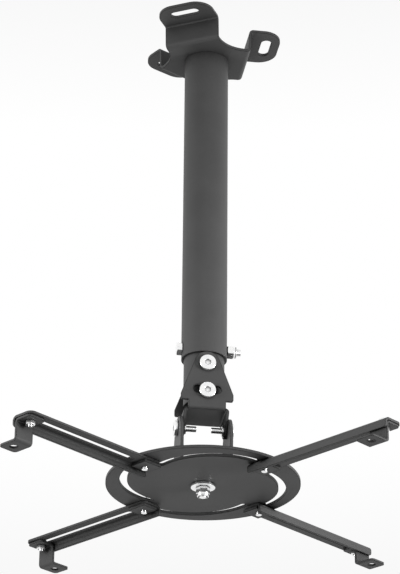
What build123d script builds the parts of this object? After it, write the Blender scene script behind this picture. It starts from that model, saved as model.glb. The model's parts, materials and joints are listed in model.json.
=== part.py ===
from build123d import *
from math import cos, hypot, radians, sin, tan
import os

# Ceiling mount for a projector: a three-winged ceiling plate, a telescopic tube, a swivel bracket,
# a tilting yoke and a turntable disc that carries four slotted arms with sliding feet.
# Millimetres, +Z up. The origin is on the tube's axis, in the plane of the ceiling.

# Gaps
RUN_GAP = 0.25  # between flat faces that turn or slide past each other
PIN_GAP = 0.05  # round a bolt in the hole that turns on it, and round its nut's thread
HOLE_GAP = 0.2  # round a bolt in a plain hole
TUBE_GAP = 0.1  # round the inner tube
PICK_TOL = 0.01  # how near its place a corner has to be to be picked

# Ceiling plate
PLATE_T = 2.5
PLATE_DEPTH = 22.5
PLATE_BEND_R = 1.5
WING_COUNT = 3
WING_WIDTH = 48.8
LOWER_FOLD_R = 34.4
UPPER_FOLD_R = 35.4
WAIST_R = 29.0  # the rounding between two wings
WING_REACH = 64.0
WING_CORNER_R = 16.0
WING_CORNER_LIMIT = 0.45  # largest corner radius, as a share of the wing's width
CEILING_SLOT_L = 25.8
CEILING_SLOT_W = 9.0
CEILING_SLOT_R = 52.0

# Telescopic tubes
TUBE_OD = 38.0
TUBE_WALL = 2.0
OUTER_TUBE_L = 288.5
HEIGHT_TRAVEL = 210.0
INNER_TUBE_HEAD = 20.0  # left above the height bolt when the inner tube is fully out
HEIGHT_BOLT_RISE = 9.0  # above the outer tube's lower rim
HEIGHT_STUD = 3.6  # bare end beyond the nut

# Bolts, nuts and their heads
BOLT_D = 6.0
BOLT_AF = 10.0
BOLT_HEAD_H = 4.5
SMALL_BOLT_D = 5.0  # tilt bolts and arm bolts
NUT_H = 5.0
LOCK_HEX_H = 5.4
LOCK_COLLAR_D = 9.8
LOCK_COLLAR_H = 2.6
LOCK_COLLAR_EDGE_R = 1.0
HEX_CORNER_CUT = 1.05  # turned off a hexagon's corners, as a share of their depth
CAP_HEAD_D = 13.6
CAP_HEAD_H = 3.0
CAP_EDGE_SHARE = 0.3  # rounding of a head's rim, as a share of its height
SOCKET_AF = 5.0
SOCKET_DEPTH = 2.0
SOCKET_DEPTH_LIMIT = 0.7  # as a share of the head's height
END_CHAMFER = 0.6
STUD_END = 2.0

# Swivel bracket
BRACKET_T = 2.4
CHEEK_BEND_R = 0.3
EAR_BEND_R = 1.3
SWIVEL_PIVOT_DROP = 11.3  # below the outer tube's lower rim
SWIVEL_ARC_R = 24.5
SWIVEL_RANGE = 15.0
SWIVEL_SLOT_SPARE = 4.0  # degrees of slot past the range at each end
SWIVEL_SLOT_W = 7.2
CHEEK_TOP_R = 10.7
CHEEK_SHOULDER_DROP = 27.2
CHEEK_SHOULDER_H = 5.7
CHEEK_WIDTH = 43.2
CHEEK_FOOT_W = 30.8
CHEEK_CORNER_R = 1.5
BRACKET_DEPTH = 40.2  # from the swivel pivot to the underside of the bracket
INNER_TUBE_TAIL = 6.7  # below the lock bolt
EAR_SPAN = 37.4  # over the outer faces of the two ears
EAR_R = 6.5
EAR_ROOT_W = 33.4
TILT_DROP = 11.0  # from the underside of the bracket to the tilt axis

# Tilting yoke
YOKE_T = 2.5
YOKE_BEND_R = 1.5
YOKE_INSET = 0.35  # of its front and back, from the outer faces of the bracket's cheeks
YOKE_TOP_RISE = 9.3  # above the tilt axis
YOKE_HEIGHT = 45.7  # from the tilt axis to the underside
TILT_BOLT_REACH = 6.2  # from the bolt's end to the middle
TILT_NUT_D = 9.6
TILT_NUT_H = 1.4

# Turntable disc
DISC_R = 79.0
DISC_T = 2.5
ARM_COUNT = 4
ARM_ANGLE = 37.8
ARC_SLOT_W = 6.2
ARC_START_R = 55.0
ARC_MID_R = 64.9
ARC_END_R = 67.0
ARC_SWEEP = 84.0
ARC_MID_SHARE = 45.0 / 84.0
WASHER_D = 19.8
WASHER_T = 2.0
CENTRE_STUD = 0.4

# Arms
ARM_L = 142.0
ARM_W = 20.0
ARM_T = 2.0
ARM_FLANGE_H = 8.3
ARM_BEND_R = 2.0
ARM_CORNER_R = 5.0
ARM_FLANGE_CORNER_R = 2.5
ARM_PIVOT_INSET = 9.5
ARM_SLOT_W = 6.5
ARM_SLOT_START = 23.0  # from the arm's inner end
ARM_SLOT_END_INSET = 5.4
ARM_BOLT_HEAD_D = 12.5
ARM_BOLT_HEAD_H = 3.2
NUT_PLATE_L = 18.0
NUT_PLATE_T = 2.5
NUT_PLATE_LIP = 1.0  # bare web beside the plate
ARM_STUD = 2.0

# Feet
FOOT_W = 17.0
FOOT_T = 1.8
FOOT_BEND_R = 1.2
FOOT_INSET = 9.0  # from the arm's outer end to the foot's middle
FOOT_TOP_REACH = 8.0
FOOT_PAD_REACH = 25.5
FOOT_DROP = 18.3  # from the underside of the web to the underside of the pad
FOOT_CORNER_R = 3.0
FOOT_HOLE_D = 6.5
FOOT_HOLE_REACH = 17.1
FOOT_HOLE_OFFSET = 0.5  # outwards along the arm, past the foot's screw
FOOT_SCREW_D = 4.0
FOOT_SCREW_HEAD_D = 9.0
FOOT_SCREW_HEAD_H = 2.4
FOOT_SCREW_SOCKET_AF = 3.0
FOOT_NUT_AF = 7.0
FOOT_NUT_H = 3.2
FOOT_STUD = 1.6

# Levels, from the ceiling down
plate_under_z = -PLATE_DEPTH
rim_z = plate_under_z - OUTER_TUBE_L
height_bolt_z = rim_z + HEIGHT_BOLT_RISE
swivel_z = rim_z - SWIVEL_PIVOT_DROP
lock_z = swivel_z - SWIVEL_ARC_R
inner_end_z = lock_z - INNER_TUBE_TAIL
inner_top_z = height_bolt_z + HEIGHT_TRAVEL + INNER_TUBE_HEAD
bracket_under_z = swivel_z - BRACKET_DEPTH
tilt_z = bracket_under_z - TILT_DROP
yoke_under_z = tilt_z - YOKE_HEIGHT
disc_top_z = yoke_under_z - RUN_GAP
disc_under_z = disc_top_z - DISC_T
arm_top_z = disc_under_z - RUN_GAP
web_under_z = arm_top_z - ARM_T
foot_under_z = web_under_z - FOOT_DROP

# Sizes that follow
outer_bore_r = TUBE_OD / 2 - TUBE_WALL
inner_tube_r = outer_bore_r - TUBE_GAP
bolt_r = BOLT_D / 2
running_hole_r = bolt_r + PIN_GAP
plain_hole_r = bolt_r + HOLE_GAP
small_running_hole_r = SMALL_BOLT_D / 2 + PIN_GAP
small_plain_hole_r = SMALL_BOLT_D / 2 + HOLE_GAP
cheek_inner_y = inner_tube_r + RUN_GAP
cheek_outer_y = cheek_inner_y + BRACKET_T
yoke_inner_x = EAR_SPAN / 2 + RUN_GAP
yoke_outer_x = yoke_inner_x + YOKE_T
yoke_half_depth = cheek_outer_y - YOKE_INSET
arm_inner_r = ARC_END_R - ARM_PIVOT_INSET
arm_outer_r = arm_inner_r + ARM_L
foot_r = arm_outer_r - FOOT_INSET
arm_angles = [ARM_ANGLE + k * 360 / ARM_COUNT for k in range(ARM_COUNT)]


def polar(radius, angle):
    return Vector(radius * cos(radians(angle)), radius * sin(radians(angle)))


def bent_strip(points, bend_r, thickness, plane, width):
    """Folded sheet: its section follows the points on the sheet's middle surface."""
    middle = FilletPolyline(*points, radius=bend_r + thickness / 2)
    return extrude(plane * trace(middle, line_width=thickness), width / 2, both=True)


def u_section(half_width, end_z, base_z):
    """The middle line of a U, from its two free ends at end_z to its base at base_z."""
    return [(-half_width, end_z), (-half_width, base_z), (half_width, base_z), (half_width, end_z)]


def shank(diameter, length):
    """Plain shank that hangs below the seat plane, with a chamfered end."""
    rod = Pos(0, 0, -length) * Cylinder(diameter / 2, length, align=(Align.CENTER, Align.CENTER, Align.MIN))
    return chamfer(rod.edges().sort_by(Axis.Z)[0], END_CHAMFER)


def hex_block(across_flats, height):
    """Hexagon prism on the seat plane, with its upper corners turned off."""
    prism = extrude(RegularPolygon(across_flats / 2, 6, major_radius=False), height)
    corner_r = across_flats / 2 / cos(radians(30))
    turned = Cylinder(corner_r, height, align=(Align.CENTER, Align.CENTER, Align.MIN))
    turned = chamfer(turned.edges().sort_by(Axis.Z)[-1], (corner_r - across_flats / 2) * HEX_CORNER_CUT)
    return prism & turned


def hex_bolt(length):
    return hex_block(BOLT_AF, BOLT_HEAD_H) + shank(BOLT_D, length)


def cap_bolt(diameter, length, head_d, head_h, socket_af):
    """Low round head with a rounded rim and a hexagon socket."""
    head = Cylinder(head_d / 2, head_h, align=(Align.CENTER, Align.CENTER, Align.MIN))
    head = fillet(head.edges().sort_by(Axis.Z)[-1], head_h * CAP_EDGE_SHARE)
    depth = min(SOCKET_DEPTH, head_h * SOCKET_DEPTH_LIMIT)
    socket = extrude(RegularPolygon(socket_af / 2, 6, major_radius=False), depth)
    return head - Pos(0, 0, head_h - depth) * socket + shank(diameter, length)


def hex_nut(diameter, across_flats, height):
    return hex_block(across_flats, height) - Cylinder(diameter / 2 + PIN_GAP, 3 * height)


def lock_nut(diameter, across_flats):
    """A hexagon with a round collar that holds a plastic ring."""
    bore_r = diameter / 2 + PIN_GAP
    collar = Cylinder(LOCK_COLLAR_D / 2, LOCK_COLLAR_H, align=(Align.CENTER, Align.CENTER, Align.MIN))
    collar = fillet(collar.edges().sort_by(Axis.Z)[-1], LOCK_COLLAR_EDGE_R)
    nut = hex_block(across_flats, LOCK_HEX_H) + Pos(0, 0, LOCK_HEX_H) * collar
    return nut - Cylinder(bore_r, 3 * (LOCK_HEX_H + LOCK_COLLAR_H))


def on_axis(origin, direction):
    """Placement whose local +Z, the side of a head or a nut's outer end, points along direction."""
    return Plane(origin=origin, z_dir=direction).location


def through(radius, length, origin, direction):
    return on_axis(origin, direction) * Cylinder(radius, length)


# Ceiling plate
def make_ceiling_plate():
    half_step = 180 / WING_COUNT
    inner_corner_r = WING_WIDTH / 2 / sin(radians(half_step))
    flare_run = LOWER_FOLD_R - WING_WIDTH / 2 / tan(radians(half_step))
    waist_r = min(WAIST_R, flare_run * tan(radians(half_step)))
    wing = Rectangle(WING_REACH, WING_WIDTH, align=(Align.MIN, Align.CENTER))
    outer_corners = wing.vertices().filter_by(lambda v: v.X > WING_REACH / 2)
    wing = fillet(outer_corners, min(WING_CORNER_R, WING_WIDTH * WING_CORNER_LIMIT))
    steps = [k * 360 / WING_COUNT for k in range(WING_COUNT)]
    plan = Sketch() + [Rot(0, 0, step) * wing for step in steps]
    inner_corners = plan.vertices().filter_by(lambda v: abs(hypot(v.X, v.Y) - inner_corner_r) < PICK_TOL)
    plan = fillet(inner_corners, waist_r)
    low_mid_z = plate_under_z + PLATE_T / 2
    top_mid_z = -PLATE_T / 2
    overlap = 2 * PLATE_T + PLATE_BEND_R
    section = [
        (LOWER_FOLD_R - 2 * overlap, low_mid_z),
        (LOWER_FOLD_R, low_mid_z),
        (UPPER_FOLD_R, top_mid_z),
        (WING_REACH + overlap, top_mid_z),
    ]
    strip = bent_strip(section, PLATE_BEND_R, PLATE_T, Plane.XZ, WING_WIDTH + 4 * PLATE_T)
    inside_folds = RegularPolygon(LOWER_FOLD_R - overlap, WING_COUNT, major_radius=False, rotation=180)
    middle = Pos(0, 0, plate_under_z) * extrude(plan & inside_folds, PLATE_T)
    slot = SlotOverall(CEILING_SLOT_L, CEILING_SLOT_W, rotation=90)
    slot_cut = Pos(CEILING_SLOT_R, 0, 0) * extrude(slot, PLATE_DEPTH, both=True)
    column = Pos(0, 0, plate_under_z) * extrude(plan, PLATE_DEPTH)
    plate = middle
    for step in steps:
        plate += Rot(0, 0, step) * strip & column
    for step in steps:
        plate -= Rot(0, 0, step) * slot_cut
    return plate


# Tubes
def make_tube(outer_r, wall, top_z, bottom_z):
    ring = Circle(outer_r) - Circle(outer_r - wall)
    return Pos(0, 0, bottom_z) * extrude(ring, top_z - bottom_z)


def make_outer_tube():
    tube = make_tube(TUBE_OD / 2, TUBE_WALL, plate_under_z, rim_z)
    return tube - through(plain_hole_r, 2 * TUBE_OD, (0, 0, height_bolt_z), (1, 0, 0))


def make_inner_tube():
    tube = make_tube(inner_tube_r, TUBE_WALL, inner_top_z, inner_end_z)
    for z in (swivel_z, lock_z):
        tube -= through(plain_hole_r, 2 * TUBE_OD, (0, 0, z), (0, 1, 0))
    slot = SlotCenterToCenter(HEIGHT_TRAVEL + 2 * HOLE_GAP, 2 * plain_hole_r, rotation=90)
    slot = Pos(0, height_bolt_z + HEIGHT_TRAVEL / 2) * slot
    return tube - extrude(Plane.YZ * slot, TUBE_OD, both=True)


def make_height_bolt():
    length = TUBE_OD + LOCK_HEX_H + LOCK_COLLAR_H + HEIGHT_STUD
    return on_axis((-TUBE_OD / 2, 0, height_bolt_z), (-1, 0, 0)) * hex_bolt(length)


def make_height_nut():
    return on_axis((TUBE_OD / 2, 0, height_bolt_z), (1, 0, 0)) * lock_nut(BOLT_D, BOLT_AF)


# Swivel bracket: one cross-shaped blank, with cheeks folded up at front and back and ears folded down
def make_swivel_bracket():
    shoulder_z = swivel_z - CHEEK_SHOULDER_DROP
    notch_z = shoulder_z - CHEEK_SHOULDER_H
    crown = Pos(0, swivel_z) * Circle(CHEEK_TOP_R)
    shoulder = Pos(0, notch_z) * Rectangle(CHEEK_WIDTH, CHEEK_SHOULDER_H, align=(Align.CENTER, Align.MIN))
    cheek = make_hull([*crown.edges(), *shoulder.edges()])
    low_corners = cheek.vertices().filter_by(lambda v: v.Y < notch_z + PICK_TOL)
    cheek = fillet(low_corners, CHEEK_CORNER_R)
    foot_h = notch_z - bracket_under_z
    foot = Pos(0, bracket_under_z) * Rectangle(CHEEK_FOOT_W, foot_h, align=(Align.CENTER, Align.MIN))
    half_slot = SWIVEL_RANGE + SWIVEL_SLOT_SPARE
    arc = CenterArc((0, swivel_z), SWIVEL_ARC_R, 270 - half_slot, 2 * half_slot)
    openings = SlotArc(arc, SWIVEL_SLOT_W) + Pos(0, swivel_z) * Circle(running_hole_r)
    front_view = cheek + foot - openings
    bottom_mid_z = bracket_under_z + BRACKET_T / 2
    cheek_mid_y = cheek_inner_y + BRACKET_T / 2
    crown_z = swivel_z + 2 * CHEEK_TOP_R
    channel = bent_strip(
        u_section(cheek_mid_y, crown_z, bottom_mid_z),
        CHEEK_BEND_R,
        BRACKET_T,
        Plane.YZ,
        2 * CHEEK_WIDTH,
    )
    cheeks = channel & extrude(Plane.XZ * front_view, 2 * TUBE_OD, both=True)
    ear_mid_x = EAR_SPAN / 2 - BRACKET_T / 2
    ear_low_z = tilt_z - 2 * EAR_R
    saddle = bent_strip(
        u_section(ear_mid_x, ear_low_z, bottom_mid_z),
        EAR_BEND_R,
        BRACKET_T,
        Plane.XZ,
        2 * EAR_ROOT_W,
    )
    ear_end = Pos(0, tilt_z) * Circle(EAR_R)
    ear_root = Pos(0, bracket_under_z) * Rectangle(EAR_ROOT_W, BRACKET_T, align=(Align.CENTER, Align.MIN))
    side_view = make_hull([*ear_end.edges(), *ear_root.edges()])
    side_view -= Pos(0, tilt_z) * Circle(small_plain_hole_r)
    ears = saddle & extrude(Plane.YZ * side_view, TUBE_OD, both=True)
    return cheeks + ears


def make_swivel_bolt(z):
    seat_y = -cheek_outer_y - RUN_GAP
    length = 2 * (cheek_outer_y + RUN_GAP) + NUT_H + STUD_END
    return on_axis((0, seat_y, z), (0, -1, 0)) * cap_bolt(BOLT_D, length, CAP_HEAD_D, CAP_HEAD_H, SOCKET_AF)


def make_swivel_nut(z):
    return on_axis((0, cheek_outer_y + RUN_GAP, z), (0, 1, 0)) * hex_nut(BOLT_D, BOLT_AF, NUT_H)


# Tilting yoke
def make_tilt_yoke():
    base_mid_z = yoke_under_z + YOKE_T / 2
    ear_mid_x = yoke_inner_x + YOKE_T / 2
    crown_mid_z = tilt_z + YOKE_TOP_RISE - yoke_half_depth
    crown_z = tilt_z + 2 * YOKE_TOP_RISE
    channel = bent_strip(
        u_section(ear_mid_x, crown_z, base_mid_z),
        YOKE_BEND_R,
        YOKE_T,
        Plane.XZ,
        4 * yoke_half_depth,
    )
    root_h = crown_mid_z - yoke_under_z
    root = Pos(0, yoke_under_z) * Rectangle(2 * yoke_half_depth, root_h, align=(Align.CENTER, Align.MIN))
    side_view = root + Pos(0, crown_mid_z) * Circle(yoke_half_depth)
    side_view -= Pos(0, tilt_z) * Circle(small_running_hole_r)
    yoke = channel & extrude(Plane.YZ * side_view, 2 * yoke_outer_x, both=True)
    return yoke - through(plain_hole_r, 4 * YOKE_T, (0, 0, yoke_under_z), (0, 0, 1))


def make_tilt_bolt(side):
    seat_x = yoke_outer_x + RUN_GAP
    bolt = cap_bolt(SMALL_BOLT_D, seat_x - TILT_BOLT_REACH, CAP_HEAD_D, CAP_HEAD_H, SOCKET_AF)
    return on_axis((side * seat_x, 0, tilt_z), (side, 0, 0)) * bolt


def make_tilt_nut(side):
    """Thin round nut on the inner face of the ear."""
    seat_x = EAR_SPAN / 2 - BRACKET_T
    ring = Circle(TILT_NUT_D / 2) - Circle(small_running_hole_r)
    return on_axis((side * seat_x, 0, tilt_z), (-side, 0, 0)) * extrude(ring, TILT_NUT_H)


# Turntable disc: each arc slot spirals outwards and ends where an arm is bolted
def arc_points(arm_angle):
    start_angle = arm_angle - ARC_SWEEP
    mid_angle = start_angle + ARC_SWEEP * ARC_MID_SHARE
    return polar(ARC_START_R, start_angle), polar(ARC_MID_R, mid_angle), polar(ARC_END_R, arm_angle)


def make_turntable_disc():
    plan = Circle(DISC_R) - Circle(running_hole_r)
    for angle in arm_angles:
        plan -= SlotArc(ThreePointArc(*arc_points(angle)), ARC_SLOT_W)
    return Pos(0, 0, disc_under_z) * extrude(plan, DISC_T)


def make_centre_bolt():
    seat_z = yoke_under_z + YOKE_T
    length = seat_z - disc_under_z + RUN_GAP + WASHER_T + LOCK_HEX_H + LOCK_COLLAR_H + CENTRE_STUD
    return Pos(0, 0, seat_z) * hex_bolt(length)


def make_centre_washer():
    ring = Circle(WASHER_D / 2) - Circle(plain_hole_r)
    return Pos(0, 0, disc_under_z - RUN_GAP - WASHER_T) * extrude(ring, WASHER_T)


def make_centre_nut():
    return on_axis((0, 0, disc_under_z - RUN_GAP - WASHER_T), (0, 0, -1)) * lock_nut(BOLT_D, BOLT_AF)


# Arms, drawn along +X and turned to their places
def make_arm():
    web_mid_z = arm_top_z - ARM_T / 2
    flange_mid_y = -ARM_W / 2 + ARM_T / 2
    section = [(ARM_W / 2, web_mid_z), (flange_mid_y, web_mid_z), (flange_mid_y, arm_top_z - ARM_FLANGE_H)]
    middle_r = (arm_inner_r + arm_outer_r) / 2
    angle_bar = Pos(middle_r, 0, 0) * bent_strip(section, ARM_BEND_R, ARM_T, Plane.YZ, ARM_L)
    plan = Pos(middle_r, 0) * Rectangle(ARM_L, ARM_W)
    plan = fillet(plan.vertices().filter_by(lambda v: v.Y > 0), ARM_CORNER_R)
    slot_in = arm_inner_r + ARM_SLOT_START
    slot_out = arm_outer_r - ARM_SLOT_END_INSET
    plan -= Pos((slot_in + slot_out) / 2, 0) * SlotOverall(slot_out - slot_in, ARM_SLOT_W)
    plan -= Pos(ARC_END_R, 0) * Circle(small_running_hole_r)
    side = Pos(middle_r, arm_top_z - ARM_FLANGE_H / 2) * Rectangle(ARM_L, ARM_FLANGE_H)
    low_corners = side.vertices().filter_by(lambda v: v.Y < arm_top_z - ARM_FLANGE_H / 2)
    side = fillet(low_corners, ARM_FLANGE_CORNER_R)
    plan_column = Pos(0, 0, arm_top_z - ARM_FLANGE_H) * extrude(plan, ARM_FLANGE_H)
    return angle_bar & plan_column & extrude(Plane.XZ * side, ARM_W, both=True)


def make_arm_bolt():
    seat_z = disc_top_z + RUN_GAP
    length = seat_z - web_under_z + NUT_PLATE_T + ARM_STUD
    bolt = cap_bolt(SMALL_BOLT_D, length, ARM_BOLT_HEAD_D, ARM_BOLT_HEAD_H, SOCKET_AF)
    return Pos(ARC_END_R, 0, seat_z) * bolt


def make_arm_nut_plate():
    flange_face_y = -ARM_W / 2 + ARM_T
    low_y = flange_face_y + ARM_BEND_R
    high_y = ARM_W / 2 - NUT_PLATE_LIP
    plan = Pos(ARC_END_R, (low_y + high_y) / 2) * Rectangle(NUT_PLATE_L, high_y - low_y)
    plan -= Pos(ARC_END_R, 0) * Circle(small_running_hole_r)
    return Pos(0, 0, web_under_z - NUT_PLATE_T) * extrude(plan, NUT_PLATE_T)


# Feet: a Z-shaped bracket that slides along the slot of its arm
def make_foot():
    top_mid_z = web_under_z - RUN_GAP - FOOT_T / 2
    pad_mid_z = foot_under_z + FOOT_T / 2
    leg_mid_y = -ARM_W / 2 + ARM_T + RUN_GAP + FOOT_T / 2
    section = [
        (FOOT_TOP_REACH, top_mid_z),
        (leg_mid_y, top_mid_z),
        (leg_mid_y, pad_mid_z),
        (-FOOT_PAD_REACH, pad_mid_z),
    ]
    strip = Pos(foot_r, 0, 0) * bent_strip(section, FOOT_BEND_R, FOOT_T, Plane.YZ, FOOT_W)
    plan_y = (FOOT_TOP_REACH - FOOT_PAD_REACH) / 2
    plan = Pos(foot_r, plan_y) * RectangleRounded(FOOT_W, FOOT_TOP_REACH + FOOT_PAD_REACH, FOOT_CORNER_R)
    plan -= Pos(foot_r, 0) * Circle(FOOT_SCREW_D / 2 + PIN_GAP)
    plan -= Pos(foot_r + FOOT_HOLE_OFFSET, -FOOT_HOLE_REACH) * Circle(FOOT_HOLE_D / 2)
    return strip & Pos(0, 0, foot_under_z) * extrude(plan, FOOT_DROP)


def make_foot_screw():
    seat_z = arm_top_z + RUN_GAP
    length = seat_z - web_under_z + RUN_GAP + FOOT_T + FOOT_NUT_H + FOOT_STUD
    screw = cap_bolt(FOOT_SCREW_D, length, FOOT_SCREW_HEAD_D, FOOT_SCREW_HEAD_H, FOOT_SCREW_SOCKET_AF)
    return Pos(foot_r, 0, seat_z) * screw


def make_foot_nut():
    seat_z = web_under_z - RUN_GAP - FOOT_T
    return on_axis((foot_r, 0, seat_z), (0, 0, -1)) * hex_nut(FOOT_SCREW_D, FOOT_NUT_AF, FOOT_NUT_H)


def save(shape, node):
    export_step(Part() + shape, f"parts/{node}.step")


save(make_ceiling_plate(), "ceiling_plate")
save(make_outer_tube(), "outer_tube")
save(make_inner_tube(), "inner_tube")
save(make_height_bolt(), "height_bolt")
save(make_height_nut(), "height_nut")
save(make_swivel_bracket(), "swivel_bracket")
for place, z in (("pivot", swivel_z), ("lock", lock_z)):
    save(make_swivel_bolt(z), f"swivel_{place}_bolt")
    save(make_swivel_nut(z), f"swivel_{place}_nut")
save(make_tilt_yoke(), "tilt_yoke")
for place, side in (("left", -1), ("right", 1)):
    save(make_tilt_bolt(side), f"tilt_bolt_{place}")
    save(make_tilt_nut(side), f"tilt_nut_{place}")
save(make_turntable_disc(), "turntable_disc")
save(make_centre_bolt(), "centre_bolt")
save(make_centre_washer(), "centre_washer")
save(make_centre_nut(), "centre_nut")

arm_pieces = {
    "arm": make_arm(),
    "arm_bolt": make_arm_bolt(),
    "arm_nut_plate": make_arm_nut_plate(),
    "foot": make_foot(),
    "foot_screw": make_foot_screw(),
    "foot_nut": make_foot_nut(),
}
for number, angle in enumerate(arm_angles, start=1):
    for name, piece in arm_pieces.items():
        save(Rot(0, 0, angle) * piece, f"{name}_{number}")
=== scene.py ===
"""The looks of a ceiling mount for a projector: black powder coat on its folded steel and tubes, and
bright zinc on its fasteners, 22 of which are remade here with threads, sockets and chamfers.

Metres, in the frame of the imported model: +Z up, the origin in the plane of the ceiling on the tube's axis.
"""

import json
from math import ceil, cos, degrees, pi, radians, sin, tan

import bmesh
import bpy
from mathutils import Matrix, Vector


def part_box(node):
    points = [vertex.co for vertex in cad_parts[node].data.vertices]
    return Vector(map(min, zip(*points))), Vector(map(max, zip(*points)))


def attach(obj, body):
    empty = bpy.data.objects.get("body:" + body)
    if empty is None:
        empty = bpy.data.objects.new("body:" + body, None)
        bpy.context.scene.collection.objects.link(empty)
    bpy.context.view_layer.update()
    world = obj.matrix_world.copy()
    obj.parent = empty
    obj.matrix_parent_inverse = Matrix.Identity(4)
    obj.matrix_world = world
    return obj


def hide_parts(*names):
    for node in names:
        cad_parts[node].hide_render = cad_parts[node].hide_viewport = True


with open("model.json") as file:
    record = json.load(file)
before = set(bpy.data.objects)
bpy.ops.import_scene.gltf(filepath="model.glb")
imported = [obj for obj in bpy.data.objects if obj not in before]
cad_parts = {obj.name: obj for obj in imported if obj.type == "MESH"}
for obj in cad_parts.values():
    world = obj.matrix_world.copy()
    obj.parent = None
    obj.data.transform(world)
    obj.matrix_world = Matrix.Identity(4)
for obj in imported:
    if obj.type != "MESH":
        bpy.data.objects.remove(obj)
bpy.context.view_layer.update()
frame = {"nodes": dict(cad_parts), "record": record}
BODIES = frame["record"]["behaviour"]["bodies"]
BODY_OF = {node: body for body, nodes in BODIES.items() for node in nodes}

MM = 0.001

# Camera, from a fit to the photograph, whose frame is 400 by 574 pixels
PHOTO_WIDTH_PX = 400
FOCAL_PX = 2486.51
SENSOR_MM = 36.0
CAMERA_YAW = radians(8.485)
CAMERA_PITCH = radians(26.387)
CAMERA_ROLL = radians(0.528)
CAMERA_DISTANCE = 2188.93 * MM
AIM_RIGHT = 5.738 * MM
AIM_UP = 197.450 * MM
AIM_HEIGHT = -22.5 * MM  # the underside of the ceiling plate's middle

# World: tones and strengths are in linear light, and 1 is white
WHITE = 1.0
WORLD_LIGHT = 0.49
BACKDROP = 0.94  # the faint grey above and below the white band behind the object
BAND_BOTTOM = (0.34, 0.385)  # height of the direction, as a sine: from the grey to full white
BAND_TOP = (0.545, 0.50)

# Floor
FLOOR_HEIGHT = -4.0  # low enough for the views from below
FLOOR_SIZE = 400.0
FLOOR_TONES = (0.88, 0.92)
FLOOR_MOTTLE_SCALE = 2.0
FLOOR_ROUGHNESS = 0.8
FLOOR_SEEN = 0.97  # the tone that it glows with to the camera
FLOOR_GLOW = 0.95  # share of that glow for the camera and in reflections; the rest is lit and takes shadows
UNLIT_PLACE = (-0.45, -2.2, 0)  # the middle of a part of it that is dark in reflections
UNLIT_RADIUS = 1.4
UNLIT_LIGHT = 0.08

# Lamps: name, place, power in watts and spread in degrees. Narrow spreads let their light fall off
# along the tube. Both are square and aim at the brackets below the tube.
LAMP_AIM = (0, 0, -0.36)
LAMP_SIZE = 0.4
LAMPS = (
    ("key", (0.90, -0.50, -0.44), 2.75, 84),
    ("fill", (-0.95, -0.32, -0.40), 1.34, 72),
)

# Materials: noise scales are per metre. A noise's range runs from the value where what it does begins
# to the value where that is full, and a pair of tones or roughnesses goes with its two ends.
RAY_SAMPLES = 6  # of each Bevel and Ambient Occlusion node
FLAT_COSINE = 0.995  # between a face's own normal and the rounded one, where it still counts as flat
OPEN_SHARE = 0.85  # ambient occlusion where the painted shade of a corner or gap begins
DEEP_SHARE = 0.3  # and where that painted shade is as dark as it gets

COAT_MOTTLE_SCALE = 28.0
COAT_MOTTLE_RANGE = (0.35, 0.65)
# Painted shade on the edges: this noise makes the dark line painted along them uneven
COAT_EDGE_SHADE_NOISE_SCALE = 160.0
COAT_EDGE_SHADE_NOISE_RANGE = (0.40, 0.60)
COAT_EDGE_SHADE_SHARES = (0.5, 0.95)  # of the painted dark shade on the edges, which varies along them
COAT_PEEL_SCALE = 950.0
COAT_SPECKLE_SCALE = 2400.0
COAT_LIGHT_SPECKS = (0.56, 0.74)
COAT_LIGHT_SPECK_SHARE = 0.35
COAT_LIGHT_SPECK_TONE = 0.11
COAT_DARK_SPECKS = (0.42, 0.28)
COAT_DARK_SPECK_SHARE = 0.4
COAT_DARK_SPECK_TONE = 0.03
COAT_TONES = (0.064, 0.073)
# Painted shade: the dark tone painted along every sharp edge of the coat, where it is also rougher
COAT_EDGE_SHADE_TONE = 0.016
COAT_EDGE_WIDTH = 1.5 * MM
COAT_EDGE_FALL = 0.10  # how far that cosine falls to where an edge has its darkest painted shade
# Painted shade: corners and close gaps darkened in the coat's colour by ambient occlusion
COAT_CORNER_SHADE_TONE = 0.008
COAT_CORNER_SHADE_REACH = 40 * MM
COAT_CORNER_SHADE_SHARE = 0.95
COAT_ROUGHNESS = (0.46, 0.56)
COAT_ROUGHNESS_RANGE = (0.3, 0.7)
COAT_EDGE_ROUGHNESS = 0.9
COAT_SPECULAR = 0.15
COAT_ROUNDING = 0.25 * MM
COAT_SPECKLE_HEIGHT = 0.35  # against the orange peel's height of 1
COAT_BUMP = 0.22
COAT_BUMP_DEPTH = 0.05 * MM

ZINC_CLOUD_SCALE = 260.0
ZINC_CLOUD_RANGE = (0.35, 0.65)
ZINC_SPOT_SCALE = 1300.0
ZINC_SPOT_RANGE = (0.62, 0.76)
ZINC_GRAIN_SCALE = 3200.0
ZINC_GRAIN_RANGE = (0.25, 0.75)
ZINC_DULL = (0.86, 0.865, 0.875, 1)
ZINC_BRIGHT = (0.93, 0.93, 0.92, 1)
ZINC_SPOT = (0.55, 0.56, 0.58, 1)
ZINC_SPOT_SHARE = 0.5
# Painted highlight: the zinc's edges made brighter in its colour
ZINC_EDGE_HIGHLIGHT_TONE = 0.95
ZINC_EDGE_HIGHLIGHT_SHARE = 0.6
ZINC_EDGE_WIDTH = 0.25 * MM
ZINC_EDGE_FALL = 0.15
# Painted shade: the zinc's corners and gaps darkened by ambient occlusion
ZINC_CORNER_SHADE_TONE = 0.02
ZINC_CORNER_SHADE_REACH = 2.5 * MM
ZINC_ROUNDING = 0.2 * MM
ZINC_BUMP = 0.12
ZINC_BUMP_DEPTH = 0.02 * MM

NYLON_CLOUD_SCALE = 400.0
NYLON_CLOUD_RANGE = (0.3, 0.7)
NYLON_TONES = (0.035, 0.055)
NYLON_ROUGHNESS = 0.4
NYLON_BUMP = 0.1
NYLON_BUMP_DEPTH = 0.05 * MM

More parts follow.
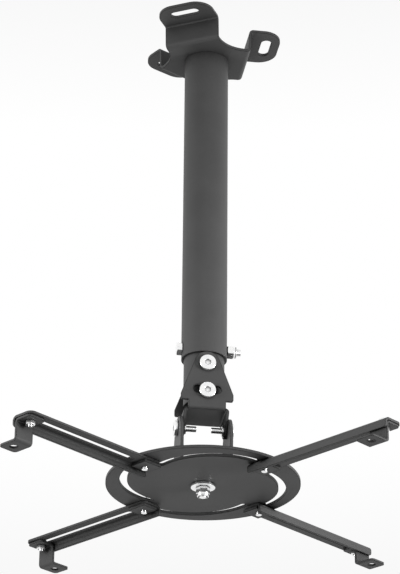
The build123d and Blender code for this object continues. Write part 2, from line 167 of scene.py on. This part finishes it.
# Fasteners: diameter and pitch of each thread
M6 = (6.0 * MM, 1.0 * MM)
M5 = (5.0 * MM, 0.8 * MM)
M4 = (4.0 * MM, 0.7 * MM)
THREAD_DEPTH = 0.15  # as a share of the pitch: shallower than a real one, as faint as in the photograph
GROOVE_SHARE = 0.5  # of the pitch; the rest is the flat crest
END_BREAK = 0.1 * MM  # how far the chamfer at a bolt's end goes past the bottom of its thread
ROWS_PER_PITCH = 6
SIDES = 48  # round every fastener, a multiple of 6 so that the hexagons' corners are points
ARC_STEPS = 4
SHARP_ANGLE = radians(28)  # edges that turn by more are shaded as sharp
BREAK = 0.2 * MM  # of the small edges of heads and sockets

HEX_AF = 10.0 * MM
HEX_HEAD_H = 4.5 * MM
FOOT_NUT_AF = 7.0 * MM
CONE = tan(radians(30))  # slope of the corners turned off a hexagon
TURNED_SHARE = 0.475  # radius of the flat face inside that cone, as a share of the width across flats
BORE_SINK = 0.4 * MM

SOCKET_AF = 5.0 * MM
SOCKET_DEPTH = 2.0 * MM
FOOT_SOCKET_AF = 3.0 * MM
FOOT_SOCKET_DEPTH = 1.6 * MM
DRILLED_SHARE = 0.2  # radius of the drilled bottom, as a share of the socket's width
ROUND_HEAD_D = 13.6 * MM
ROUND_HEAD_H = 3.0 * MM
ARM_HEAD_D = 12.5 * MM
ARM_HEAD_H = 3.2 * MM
FOOT_HEAD_D = 9.0 * MM
FOOT_HEAD_H = 2.4 * MM
HEAD_ROUNDING = 0.3  # of the head's height

LOCK_HEX_H = 5.4 * MM
LOCK_COLLAR_R = 4.9 * MM
COLLAR_ROUNDING = 0.8 * MM
COLLAR_LIP = 0.9 * MM
LIP_DROP = 0.1 * MM
NYLON_DROP = 0.35 * MM
NYLON_CROWN = 0.1 * MM
NYLON_PINCH = 0.05 * MM
NYLON_HEIGHT = 1.2 * MM


def frame_at(place, x, y, z):
    return Matrix.Translation(place) @ Matrix((x, y, z)).transposed().to_4x4()


def make_camera():
    data = bpy.data.cameras.new("camera")
    data.sensor_fit = "HORIZONTAL"
    data.sensor_width = SENSOR_MM
    data.lens = SENSOR_MM * FOCAL_PX / PHOTO_WIDTH_PX
    data.clip_end = 2 * FLOOR_SIZE
    ahead_x = sin(CAMERA_YAW)
    ahead_y = cos(CAMERA_YAW)
    forward = Vector((ahead_x * cos(CAMERA_PITCH), ahead_y * cos(CAMERA_PITCH), sin(CAMERA_PITCH)))
    level = Vector((ahead_y, -ahead_x, 0))
    upright = level.cross(forward)
    right = level * cos(CAMERA_ROLL) + upright * sin(CAMERA_ROLL)
    up = upright * cos(CAMERA_ROLL) - level * sin(CAMERA_ROLL)
    aim = Vector((0, 0, AIM_HEIGHT))
    place = aim - forward * CAMERA_DISTANCE - right * AIM_RIGHT - up * AIM_UP
    camera = bpy.data.objects.new("camera", data)
    camera.matrix_world = frame_at(place, right, up, -forward)
    bpy.context.scene.collection.objects.link(camera)
    bpy.context.scene.camera = camera


# Node helpers
class Tree:
    """Short names for adding and joining the nodes of one material or world."""

    def __init__(self, tree):
        self.tree = tree
        tree.nodes.clear()

    def add(self, kind, inputs=None, **settings):
        node = self.tree.nodes.new(kind)
        for name, value in settings.items():
            setattr(node, name, value)
        for name, value in (inputs or {}).items():
            if isinstance(value, bpy.types.NodeSocket):
                self.tree.links.new(value, node.inputs[name])
            else:
                node.inputs[name].default_value = value
        return node

    def where(self):
        """The object's own coordinates, in metres."""
        return self.add("ShaderNodeTexCoord").outputs["Object"]

    def ray(self, kind):
        return self.add("ShaderNodeLightPath").outputs[kind]

    def math(self, operation, a, b):
        return self.add("ShaderNodeMath", {0: a, 1: b}, operation=operation).outputs[0]

    def noise(self, vector, scale, detail=3.0, roughness=0.5):
        inputs = {"Vector": vector, "Scale": scale, "Detail": detail, "Roughness": roughness}
        return self.add("ShaderNodeTexNoise", inputs).outputs["Fac"]

    def span(self, value, low, high, to_low=0.0, to_high=1.0):
        inputs = {"Value": value, "From Min": low, "From Max": high, "To Min": to_low, "To Max": to_high}
        return self.add("ShaderNodeMapRange", inputs, clamp=True).outputs["Result"]

    def blend(self, share, a, b):
        """Colour a where share is 0, colour b where it is 1. A Mix node's colours are its inputs 6 and 7."""
        return self.add("ShaderNodeMix", {0: share, 6: a, 7: b}, data_type="RGBA").outputs[2]

    def rounded(self, radius):
        """The normal of the surface as it would be with its edges rounded."""
        return self.add("ShaderNodeBevel", {"Radius": radius}, samples=RAY_SAMPLES).outputs["Normal"]

    def edge_mask(self, radius, fall):
        """1 along sharp edges, 0 on flat and gently curved faces."""
        own = self.add("ShaderNodeNewGeometry").outputs["Normal"]
        match = self.add("ShaderNodeVectorMath", {0: self.rounded(radius), 1: own}, operation="DOT_PRODUCT")
        return self.span(match.outputs["Value"], FLAT_COSINE, FLAT_COSINE - fall)

    def painted_shade_mask(self, distance):
        """Where shade is painted: 0 in the open, towards 1 deep in a corner or between two close faces."""
        occlusion = self.add("ShaderNodeAmbientOcclusion", {"Distance": distance}, samples=RAY_SAMPLES)
        return self.span(occlusion.outputs["AO"], OPEN_SHARE, DEEP_SHARE)

    def seen_or_mirrored(self):
        """1 for rays from the camera and for those that a mirror or a glass sends on."""
        sent_on = self.math("MAXIMUM", self.ray("Is Glossy Ray"), self.ray("Is Transmission Ray"))
        return self.math("MAXIMUM", self.ray("Is Camera Ray"), sent_on)

    def bump(self, inputs):
        return self.add("ShaderNodeBump", inputs).outputs["Normal"]

    def principled(self, inputs):
        return self.add("ShaderNodeBsdfPrincipled", inputs).outputs["BSDF"]

    def output(self, shader):
        self.add("ShaderNodeOutputMaterial", {"Surface": shader})


def new_material(name):
    material = bpy.data.materials.new(name)
    material.use_nodes = True
    return material, Tree(material.node_tree)


def grey(level):
    return (level, level, level, 1.0)


def powder_coat():
    """Satin black powder coat: fine orange peel, faint mottling and specks, painted shade in its corners,
    and rougher edges with a dark line of painted shade along them."""
    material, t = new_material("powder_coat")
    where = t.where()
    mottle = t.noise(where, COAT_MOTTLE_SCALE, detail=4.0)
    speckle = t.noise(where, COAT_SPECKLE_SCALE, detail=2.0, roughness=0.7)
    peel = t.noise(where, COAT_PEEL_SCALE, detail=2.0, roughness=0.55)
    edge_shade_noise = t.noise(where, COAT_EDGE_SHADE_NOISE_SCALE, detail=5.0, roughness=0.7)
    edge = t.edge_mask(COAT_EDGE_WIDTH, COAT_EDGE_FALL)
    dark, light = COAT_TONES
    colour = t.blend(t.span(mottle, *COAT_MOTTLE_RANGE), grey(dark), grey(light))
    light_specks = t.span(speckle, *COAT_LIGHT_SPECKS, to_high=COAT_LIGHT_SPECK_SHARE)
    colour = t.blend(light_specks, colour, grey(COAT_LIGHT_SPECK_TONE))
    dark_specks = t.span(speckle, *COAT_DARK_SPECKS, to_high=COAT_DARK_SPECK_SHARE)
    colour = t.blend(dark_specks, colour, grey(COAT_DARK_SPECK_TONE))
    # painted shade: the edges darkened, unevenly along them
    painted_edge_shade = t.math("MULTIPLY", edge, t.span(edge_shade_noise, *COAT_EDGE_SHADE_NOISE_RANGE, *COAT_EDGE_SHADE_SHARES))
    colour = t.blend(painted_edge_shade, colour, grey(COAT_EDGE_SHADE_TONE))
    # painted shade: corners and gaps darkened by ambient occlusion
    corner = t.math("MULTIPLY", t.painted_shade_mask(COAT_CORNER_SHADE_REACH), COAT_CORNER_SHADE_SHARE)
    colour = t.blend(corner, colour, grey(COAT_CORNER_SHADE_TONE))
    satin = t.span(mottle, *COAT_ROUGHNESS_RANGE, *COAT_ROUGHNESS)
    shader = t.principled(
        {
            "Base Color": colour,
            "Roughness": t.math("MAXIMUM", satin, t.math("MULTIPLY", edge, COAT_EDGE_ROUGHNESS)),
            "Specular IOR Level": COAT_SPECULAR,
            "Normal": t.bump(
                {
                    "Height": t.math("ADD", peel, t.math("MULTIPLY", speckle, COAT_SPECKLE_HEIGHT)),
                    "Strength": COAT_BUMP,
                    "Distance": COAT_BUMP_DEPTH,
                    "Normal": t.rounded(COAT_ROUNDING),
                }
            ),
        }
    )
    t.output(shader)
    return material


def zinc_plate(name, metallic, roughness):
    """Bright zinc: faintly cloudy and finely grained, with small dull spots, a painted highlight along its
    edges and painted shade in its corners and gaps. To rays that a matt surface scatters it is fully
    rough, so that it throws no bright spots on the coat beside it."""
    material, t = new_material(name)
    where = t.where()
    cloud = t.noise(where, ZINC_CLOUD_SCALE, detail=4.0, roughness=0.6)
    grain = t.noise(where, ZINC_GRAIN_SCALE, roughness=0.6)
    spots = t.noise(where, ZINC_SPOT_SCALE, detail=2.0)
    edge = t.edge_mask(ZINC_EDGE_WIDTH, ZINC_EDGE_FALL)
    colour = t.blend(t.span(cloud, *ZINC_CLOUD_RANGE), ZINC_DULL, ZINC_BRIGHT)
    colour = t.blend(t.span(spots, *ZINC_SPOT_RANGE, to_high=ZINC_SPOT_SHARE), colour, ZINC_SPOT)
    # painted highlight along the edges
    colour = t.blend(t.math("MULTIPLY", edge, ZINC_EDGE_HIGHLIGHT_SHARE), colour, grey(ZINC_EDGE_HIGHLIGHT_TONE))
    # painted shade in corners and gaps
    colour = t.blend(t.painted_shade_mask(ZINC_CORNER_SHADE_REACH), colour, grey(ZINC_CORNER_SHADE_TONE))
    grained = t.span(grain, *ZINC_GRAIN_RANGE, *roughness)
    shader = t.principled(
        {
            "Base Color": colour,
            "Roughness": t.math("MAXIMUM", grained, t.ray("Is Diffuse Ray")),
            "Metallic": metallic,
            "Normal": t.bump(
                {
                    "Height": grain,
                    "Strength": ZINC_BUMP,
                    "Distance": ZINC_BUMP_DEPTH,
                    "Normal": t.rounded(ZINC_ROUNDING),
                }
            ),
        }
    )
    t.output(shader)
    return material


def nylon():
    """The dark plastic ring of the lock nuts."""
    material, t = new_material("nylon")
    cloud = t.noise(t.where(), NYLON_CLOUD_SCALE)
    dark, light = NYLON_TONES
    shader = t.principled(
        {
            "Base Color": t.blend(t.span(cloud, *NYLON_CLOUD_RANGE), grey(dark), grey(light)),
            "Roughness": NYLON_ROUGHNESS,
            "Normal": t.bump({"Height": cloud, "Strength": NYLON_BUMP, "Distance": NYLON_BUMP_DEPTH}),
        }
    )
    t.output(shader)
    return material


# Stage and light
def make_world():
    """White in reflections, white with a hint of grey above and below for the camera, and dimmer as
    the light that falls on the object."""
    world = bpy.data.worlds.new("studio")
    bpy.context.scene.world = world
    world.use_nodes = True
    t = Tree(world.node_tree)
    direction = t.add("ShaderNodeTexCoord").outputs["Generated"]
    height = t.add("ShaderNodeSeparateXYZ", {0: direction}).outputs["Z"]
    band = t.math("MULTIPLY", t.span(height, *BAND_BOTTOM), t.span(height, *BAND_TOP))
    backdrop = t.blend(band, grey(BACKDROP), grey(WHITE))
    seen = t.blend(t.ray("Is Glossy Ray"), backdrop, grey(WHITE))
    white = t.add("ShaderNodeBackground", {"Color": seen, "Strength": WHITE})
    light = t.add("ShaderNodeBackground", {"Color": grey(WHITE), "Strength": WORLD_LIGHT})
    mix = t.add("ShaderNodeMixShader", {0: t.seen_or_mirrored(), 1: light.outputs[0], 2: white.outputs[0]})
    t.add("ShaderNodeOutputWorld", {"Surface": mix.outputs[0]})


def make_floor():
    """A plain pale floor far below the object. In reflections it is white too, apart from the
    unlit part of the studio low in front, which gives round metal its dark streaks."""
    bpy.ops.mesh.primitive_plane_add(size=FLOOR_SIZE, location=(0, 0, FLOOR_HEIGHT))
    floor = bpy.context.object
    floor.name = "floor"
    material, t = new_material("floor")
    where = t.where()
    dark, light = FLOOR_TONES
    colour = t.blend(t.noise(where, FLOOR_MOTTLE_SCALE), grey(dark), grey(light))
    matt = t.principled({"Base Color": colour, "Roughness": FLOOR_ROUGHNESS})
    off = t.add("ShaderNodeVectorMath", {0: where, 1: UNLIT_PLACE}, operation="DISTANCE").outputs["Value"]
    mirrored = t.span(off, UNLIT_RADIUS, 2 * UNLIT_RADIUS, UNLIT_LIGHT, WHITE)
    tone = t.blend(t.ray("Is Glossy Ray"), grey(FLOOR_SEEN), mirrored)
    glow = t.add("ShaderNodeEmission", {"Color": tone, "Strength": WHITE})
    share = t.math("MULTIPLY", t.seen_or_mirrored(), FLOOR_GLOW)
    mix = t.add("ShaderNodeMixShader", {0: share, 1: matt, 2: glow.outputs[0]})
    t.output(mix.outputs[0])
    floor.data.materials.append(material)


def make_lamps():
    for name, place, power, spread in LAMPS:
        data = bpy.data.lights.new(name, "AREA")
        data.shape = "SQUARE"
        data.size = LAMP_SIZE
        data.energy = power
        data.spread = radians(spread)
        lamp = bpy.data.objects.new(name, data)
        lamp.location = place
        lamp.rotation_euler = (Vector(LAMP_AIM) - Vector(place)).to_track_quat("-Z", "Y").to_euler()
        bpy.context.scene.collection.objects.link(lamp)


# Fasteners. Each is a stack of rings round its own axis: the head or a nut's outer end points along
# +Z, and the seat is at zero. Each ring comes with the material of the faces from it to the next one.
ANGLES = [2 * pi * k / SIDES for k in range(SIDES)]
ZINC, NYLON, THREAD = 0, 1, 2


def ring(radius, height, kind=ZINC):
    return [(radius * cos(a), radius * sin(a), height) for a in ANGLES], kind


def hexagon(across_flats, height, turned_r=None, side=1):
    """A hexagon's outline, with a corner at +X. Beyond turned_r it falls away on a cone, down for
    side 1 and up for side -1."""
    points = []
    for a in ANGLES:
        radius = across_flats / 2 / cos(radians(degrees(a) % 60 - 30))
        drop = 0 if turned_r is None else (radius - turned_r) * CONE * side
        points.append((radius * cos(a), radius * sin(a), height - drop))
    return points, ZINC


def arc(radius, height, bend):
    """Rings that round the outer edge of a head or collar whose top is at height."""
    turns = [pi / 2 * k / ARC_STEPS for k in range(ARC_STEPS + 1)]
    return [ring(radius - bend + bend * sin(t), height - bend + bend * cos(t)) for t in turns]


def thread(size, length, threaded):
    """A shank below the seat, with a helical thread on its last stretch and a chamfered end."""
    diameter, pitch = size
    depth = THREAD_DEPTH * pitch
    rows = ceil(threaded / pitch * ROWS_PER_PITCH)
    rings = [ring(diameter / 2, 0, THREAD)]
    for row in range(rows + 1):
        height = -length + threaded * (1 - row / rows)
        fade = min(1, row / ROWS_PER_PITCH)
        limit = diameter / 2 - max(0, depth - height - length + END_BREAK)
        points = []
        for a in ANGLES:
            phase = (height / pitch - a / (2 * pi)) % 1
            groove = max(0, 1 - abs(2 * phase - 1) / GROOVE_SHARE)
            radius = min(diameter / 2 - depth * fade * groove, limit)
            points.append((radius * cos(a), radius * sin(a), height))
        rings.append((points, THREAD))
    return rings


def cap_head(diameter, height, socket_af, socket_depth):
    """From the bottom of the hexagon socket out over the rounded rim to the seat."""
    socket_r = socket_af / 2 / cos(radians(30))
    return [
        ring(DRILLED_SHARE * socket_af, height - socket_depth - BREAK),
        hexagon(socket_af, height - socket_depth),
        hexagon(socket_af, height - BREAK),
        ring(socket_r + BREAK, height),
        *arc(diameter / 2, height, HEAD_ROUNDING * height),
        ring(diameter / 2, BREAK),
        ring(diameter / 2 - BREAK, 0),
    ]


def hex_head(across_flats, height):
    turned_r = TURNED_SHARE * across_flats
    return [ring(turned_r, height), hexagon(across_flats, height, turned_r), hexagon(across_flats, 0)]


def plain_nut(size, across_flats, height):
    bore_r = size[0] / 2
    turned_r = TURNED_SHARE * across_flats
    return [
        ring(bore_r + BORE_SINK, 0),
        ring(turned_r, 0),
        hexagon(across_flats, 0, turned_r, -1),
        hexagon(across_flats, height, turned_r),
        ring(turned_r, height),
        ring(bore_r + BORE_SINK, height),
        ring(bore_r, height - BORE_SINK),
        ring(bore_r, BORE_SINK),
    ]


def lock_nut(size, across_flats, height):
    """The collar is rolled in over a nylon ring that grips the thread."""
    bore_r = size[0] / 2
    turned_r = TURNED_SHARE * across_flats
    lip_r = LOCK_COLLAR_R - COLLAR_LIP
    nylon_z = height - NYLON_DROP
    return [
        ring(bore_r, 0),
        ring(turned_r, 0),
        hexagon(across_flats, 0, turned_r, -1),
        hexagon(across_flats, LOCK_HEX_H, LOCK_COLLAR_R),
        ring(LOCK_COLLAR_R, LOCK_HEX_H),
        *arc(LOCK_COLLAR_R, height, COLLAR_ROUNDING),
        ring(lip_r, height - LIP_DROP),
        ring(lip_r, nylon_z, NYLON),
        ring((lip_r + bore_r) / 2, nylon_z + NYLON_CROWN, NYLON),
        ring(bore_r + NYLON_PINCH, nylon_z, NYLON),
        ring(bore_r, nylon_z - NYLON_HEIGHT),
    ]


def skin(name, rings, through):
    """The mesh over a stack of rings. through joins its last ring to its first, as round a bore."""
    mesh = bmesh.new()
    loops = [([mesh.verts.new(p) for p in points], kind) for points, kind in rings]
    pairs = list(zip(loops, loops[1:]))
    if through:
        pairs.append((loops[-1], loops[0]))
    for (near, kind), (far, _) in pairs:
        for k in range(SIDES):
            n = (k + 1) % SIDES
            face = mesh.faces.new((near[k], far[k], far[n], near[n]))
            face.material_index = kind
    if not through:
        mesh.faces.new(loops[0][0])
        mesh.faces.new(list(reversed(loops[-1][0])))
    bmesh.ops.recalc_face_normals(mesh, faces=mesh.faces)
    for face in mesh.faces:
        face.smooth = True
    data = bpy.data.meshes.new(name)
    mesh.to_mesh(data)
    mesh.free()
    data.set_sharp_from_angle(angle=SHARP_ANGLE)
    return data


def detail(node, rings, outward, seat_height, through=False, corner=None):
    """Stands for a fastener of the CAD. outward is the way its head or outer end points, seat_height
    how far its seat lies below the outermost face along that way, and corner the way that a corner
    of its hexagon points."""
    low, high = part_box(node)
    middle = (low + high) / 2
    outward = Vector(outward)
    outermost = max(low.dot(outward), high.dot(outward))
    seat = middle + outward * (outermost - seat_height - middle.dot(outward))
    x = corner or Vector((0, 0, 1) if outward.z == 0 else (1, 0, 0))
    data = skin(f"{node}_detail", rings, through)
    for surface in (zinc, plastic, thread_zinc):  # in the order of ZINC, NYLON and THREAD
        data.materials.append(surface)
    piece = bpy.data.objects.new(f"{node}_detail", data)
    piece.matrix_world = frame_at(seat, x, outward.cross(x), outward)
    bpy.context.scene.collection.objects.link(piece)
    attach(piece, BODY_OF[node])
    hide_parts(node)


def length_of(node, outward):
    low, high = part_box(node)
    return abs((high - low).dot(Vector(outward)))


def detail_bolt(node, outward, size, head, head_h, threaded):
    shank = length_of(node, outward) - head_h
    detail(node, head + thread(size, shank, threaded), outward, head_h)


def detail_nut(node, outward, make, size, across_flats, corner=None):
    height = length_of(node, outward)
    detail(node, make(size, across_flats, height), outward, height, through=True, corner=corner)


def make_fasteners():
    up, down = (0, 0, 1), (0, 0, -1)
    front, back = (0, -1, 0), (0, 1, 0)
    left, right = (-1, 0, 0), (1, 0, 0)
    hex_top = hex_head(HEX_AF, HEX_HEAD_H)
    cap = cap_head(ROUND_HEAD_D, ROUND_HEAD_H, SOCKET_AF, SOCKET_DEPTH)
    arm_cap = cap_head(ARM_HEAD_D, ARM_HEAD_H, SOCKET_AF, SOCKET_DEPTH)
    foot_cap = cap_head(FOOT_HEAD_D, FOOT_HEAD_H, FOOT_SOCKET_AF, FOOT_SOCKET_DEPTH)
    detail_bolt("height_bolt", left, M6, hex_top, HEX_HEAD_H, threaded=5 * MM)
    detail_nut("height_nut", right, lock_nut, M6, HEX_AF)
    detail_bolt("centre_bolt", up, M6, hex_top, HEX_HEAD_H, threaded=2 * MM)
    detail_nut("centre_nut", down, lock_nut, M6, HEX_AF)
    for place in ("pivot", "lock"):
        detail_bolt(f"swivel_{place}_bolt", front, M6, cap, ROUND_HEAD_H, threaded=4 * MM)
        detail_nut(f"swivel_{place}_nut", back, plain_nut, M6, HEX_AF)
    for place, way in (("left", left), ("right", right)):
        detail_bolt(f"tilt_bolt_{place}", way, M5, cap, ROUND_HEAD_H, threaded=12 * MM)
    for node in sorted(frame["nodes"]):
        if node.startswith("arm_bolt_"):
            detail_bolt(node, up, M5, arm_cap, ARM_HEAD_H, threaded=4 * MM)
        elif node.startswith("foot_screw_"):
            detail_bolt(node, up, M4, foot_cap, FOOT_HEAD_H, threaded=4 * MM)
        elif node.startswith("foot_nut_"):
            low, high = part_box(node)
            along = Vector((low.x + high.x, low.y + high.y, 0)).normalized()
            detail_nut(node, down, plain_nut, M4, FOOT_NUT_AF, corner=along)


powder = powder_coat()
zinc = zinc_plate("zinc_plate", metallic=0.94, roughness=(0.12, 0.22))
thread_zinc = zinc_plate("zinc_thread", metallic=1.0, roughness=(0.10, 0.20))
plastic = nylon()
for part in frame["record"]["subparts"]:
    slots = frame["nodes"][part["node"]].data.materials
    slots.clear()
    slots.append(zinc if part["material_slot"] == "zinc" else powder)

make_camera()
make_world()
make_floor()
make_lamps()
make_fasteners()

bpy.context.scene.view_settings.view_transform = "Standard"
